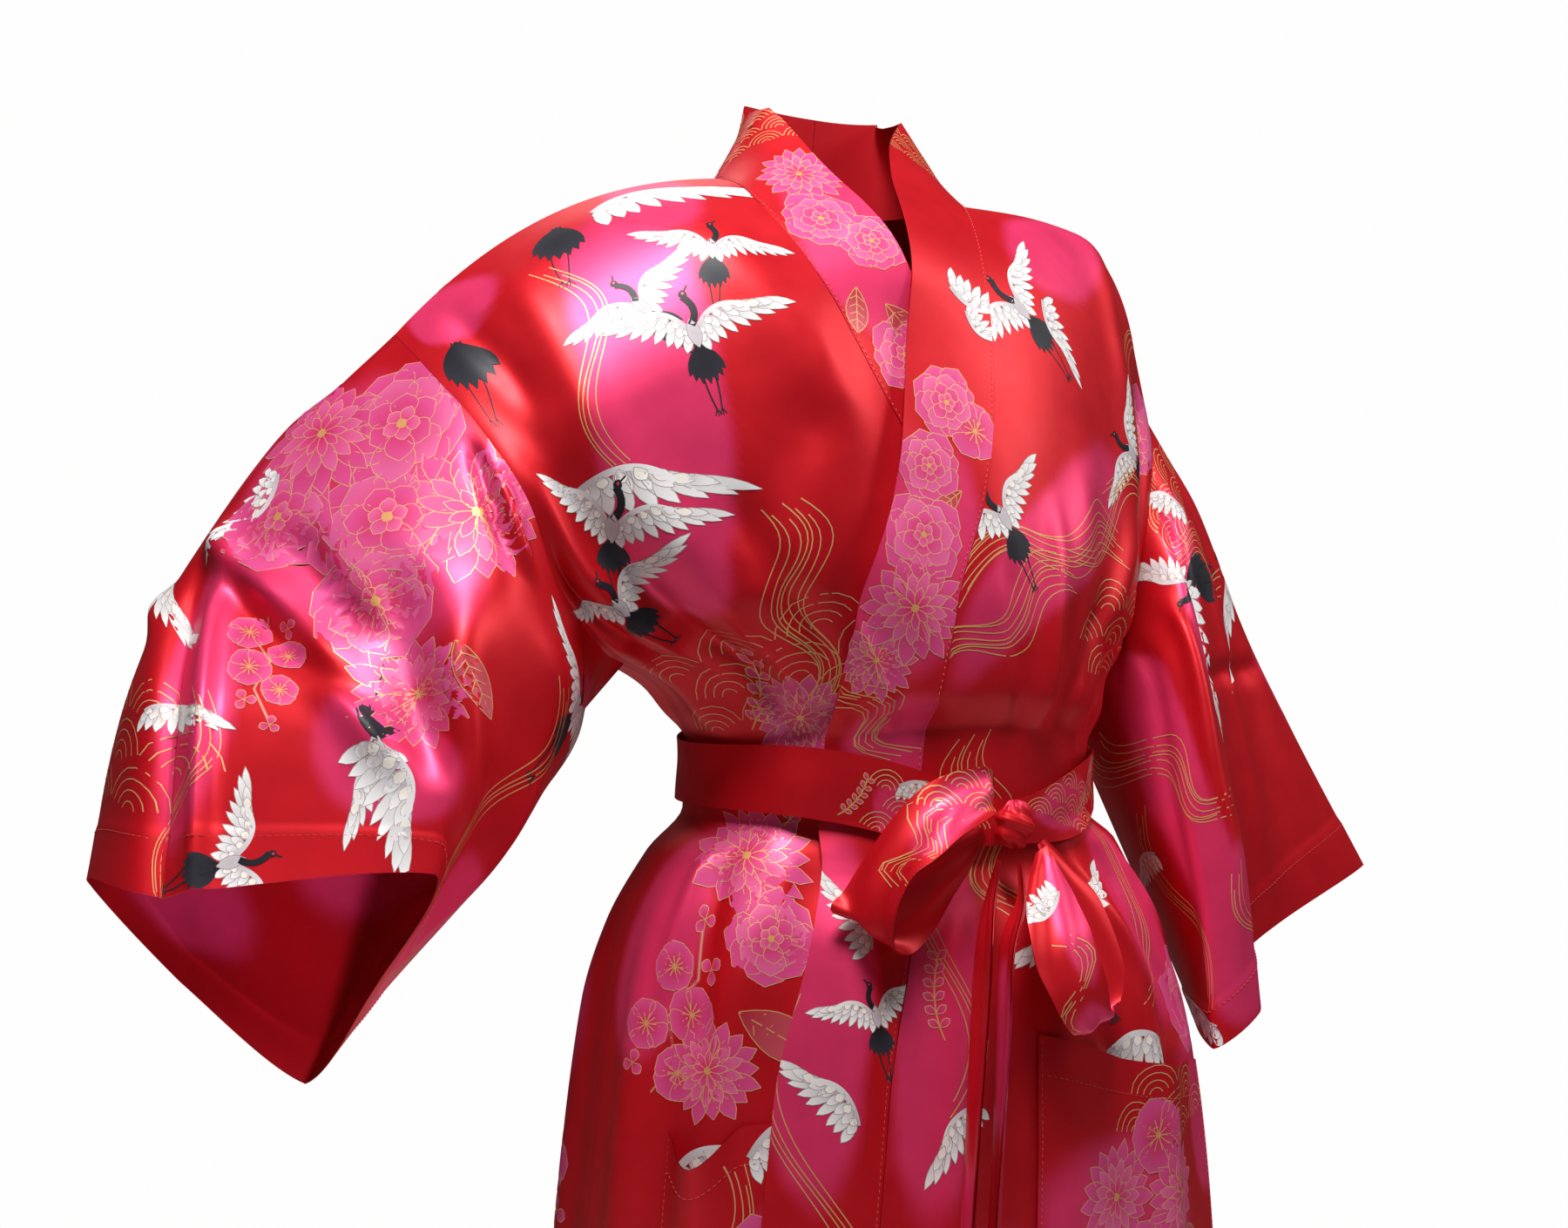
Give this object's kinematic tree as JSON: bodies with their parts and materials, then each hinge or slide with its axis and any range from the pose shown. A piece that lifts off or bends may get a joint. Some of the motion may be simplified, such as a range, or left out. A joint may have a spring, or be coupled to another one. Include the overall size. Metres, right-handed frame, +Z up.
{
  "type": "silk kimono robe, worn, with its belt tied in a bow",
  "caption": "Long silk kimono robe, wrapped left over right and tied in a bow at the waist, with wide open sleeves, a band collar and patch pockets, in its hollow worn form.",
  "frame": {"origin": "level with the wearer's shoulders at the middle of the neck's base, where the wearer's shoulders hold the robe up", "axes": "+Z up, the wearer faces -Y, the wearer's right is -X"},
  "size_m": [0.9962, 0.4579, 1.3642],
  "materials": {
    "silk_body": "glossy satin-weave silk, printed",
    "silk_sleeves": "glossy satin-weave silk, printed",
    "silk_collar": "glossy satin-weave silk, printed",
    "silk_pockets": "glossy satin-weave silk, printed",
    "silk_belt": "glossy satin-weave silk, printed"
  },
  "bodies": {
    "root": {"back": "silk_body", "front_right": "silk_body", "front_left": "silk_body", "sleeve_right": "silk_sleeves", "sleeve_left": "silk_sleeves", "collar_right": "silk_collar", "collar_left": "silk_collar", "pocket_right": "silk_pockets", "pocket_left": "silk_pockets", "belt": "silk_belt", "knot": "silk_belt", "bow_loop_right": "silk_belt", "bow_loop_left": "silk_belt", "belt_tail_right": "silk_belt", "belt_tail_left": "silk_belt"}
  },
  "joints": []
}
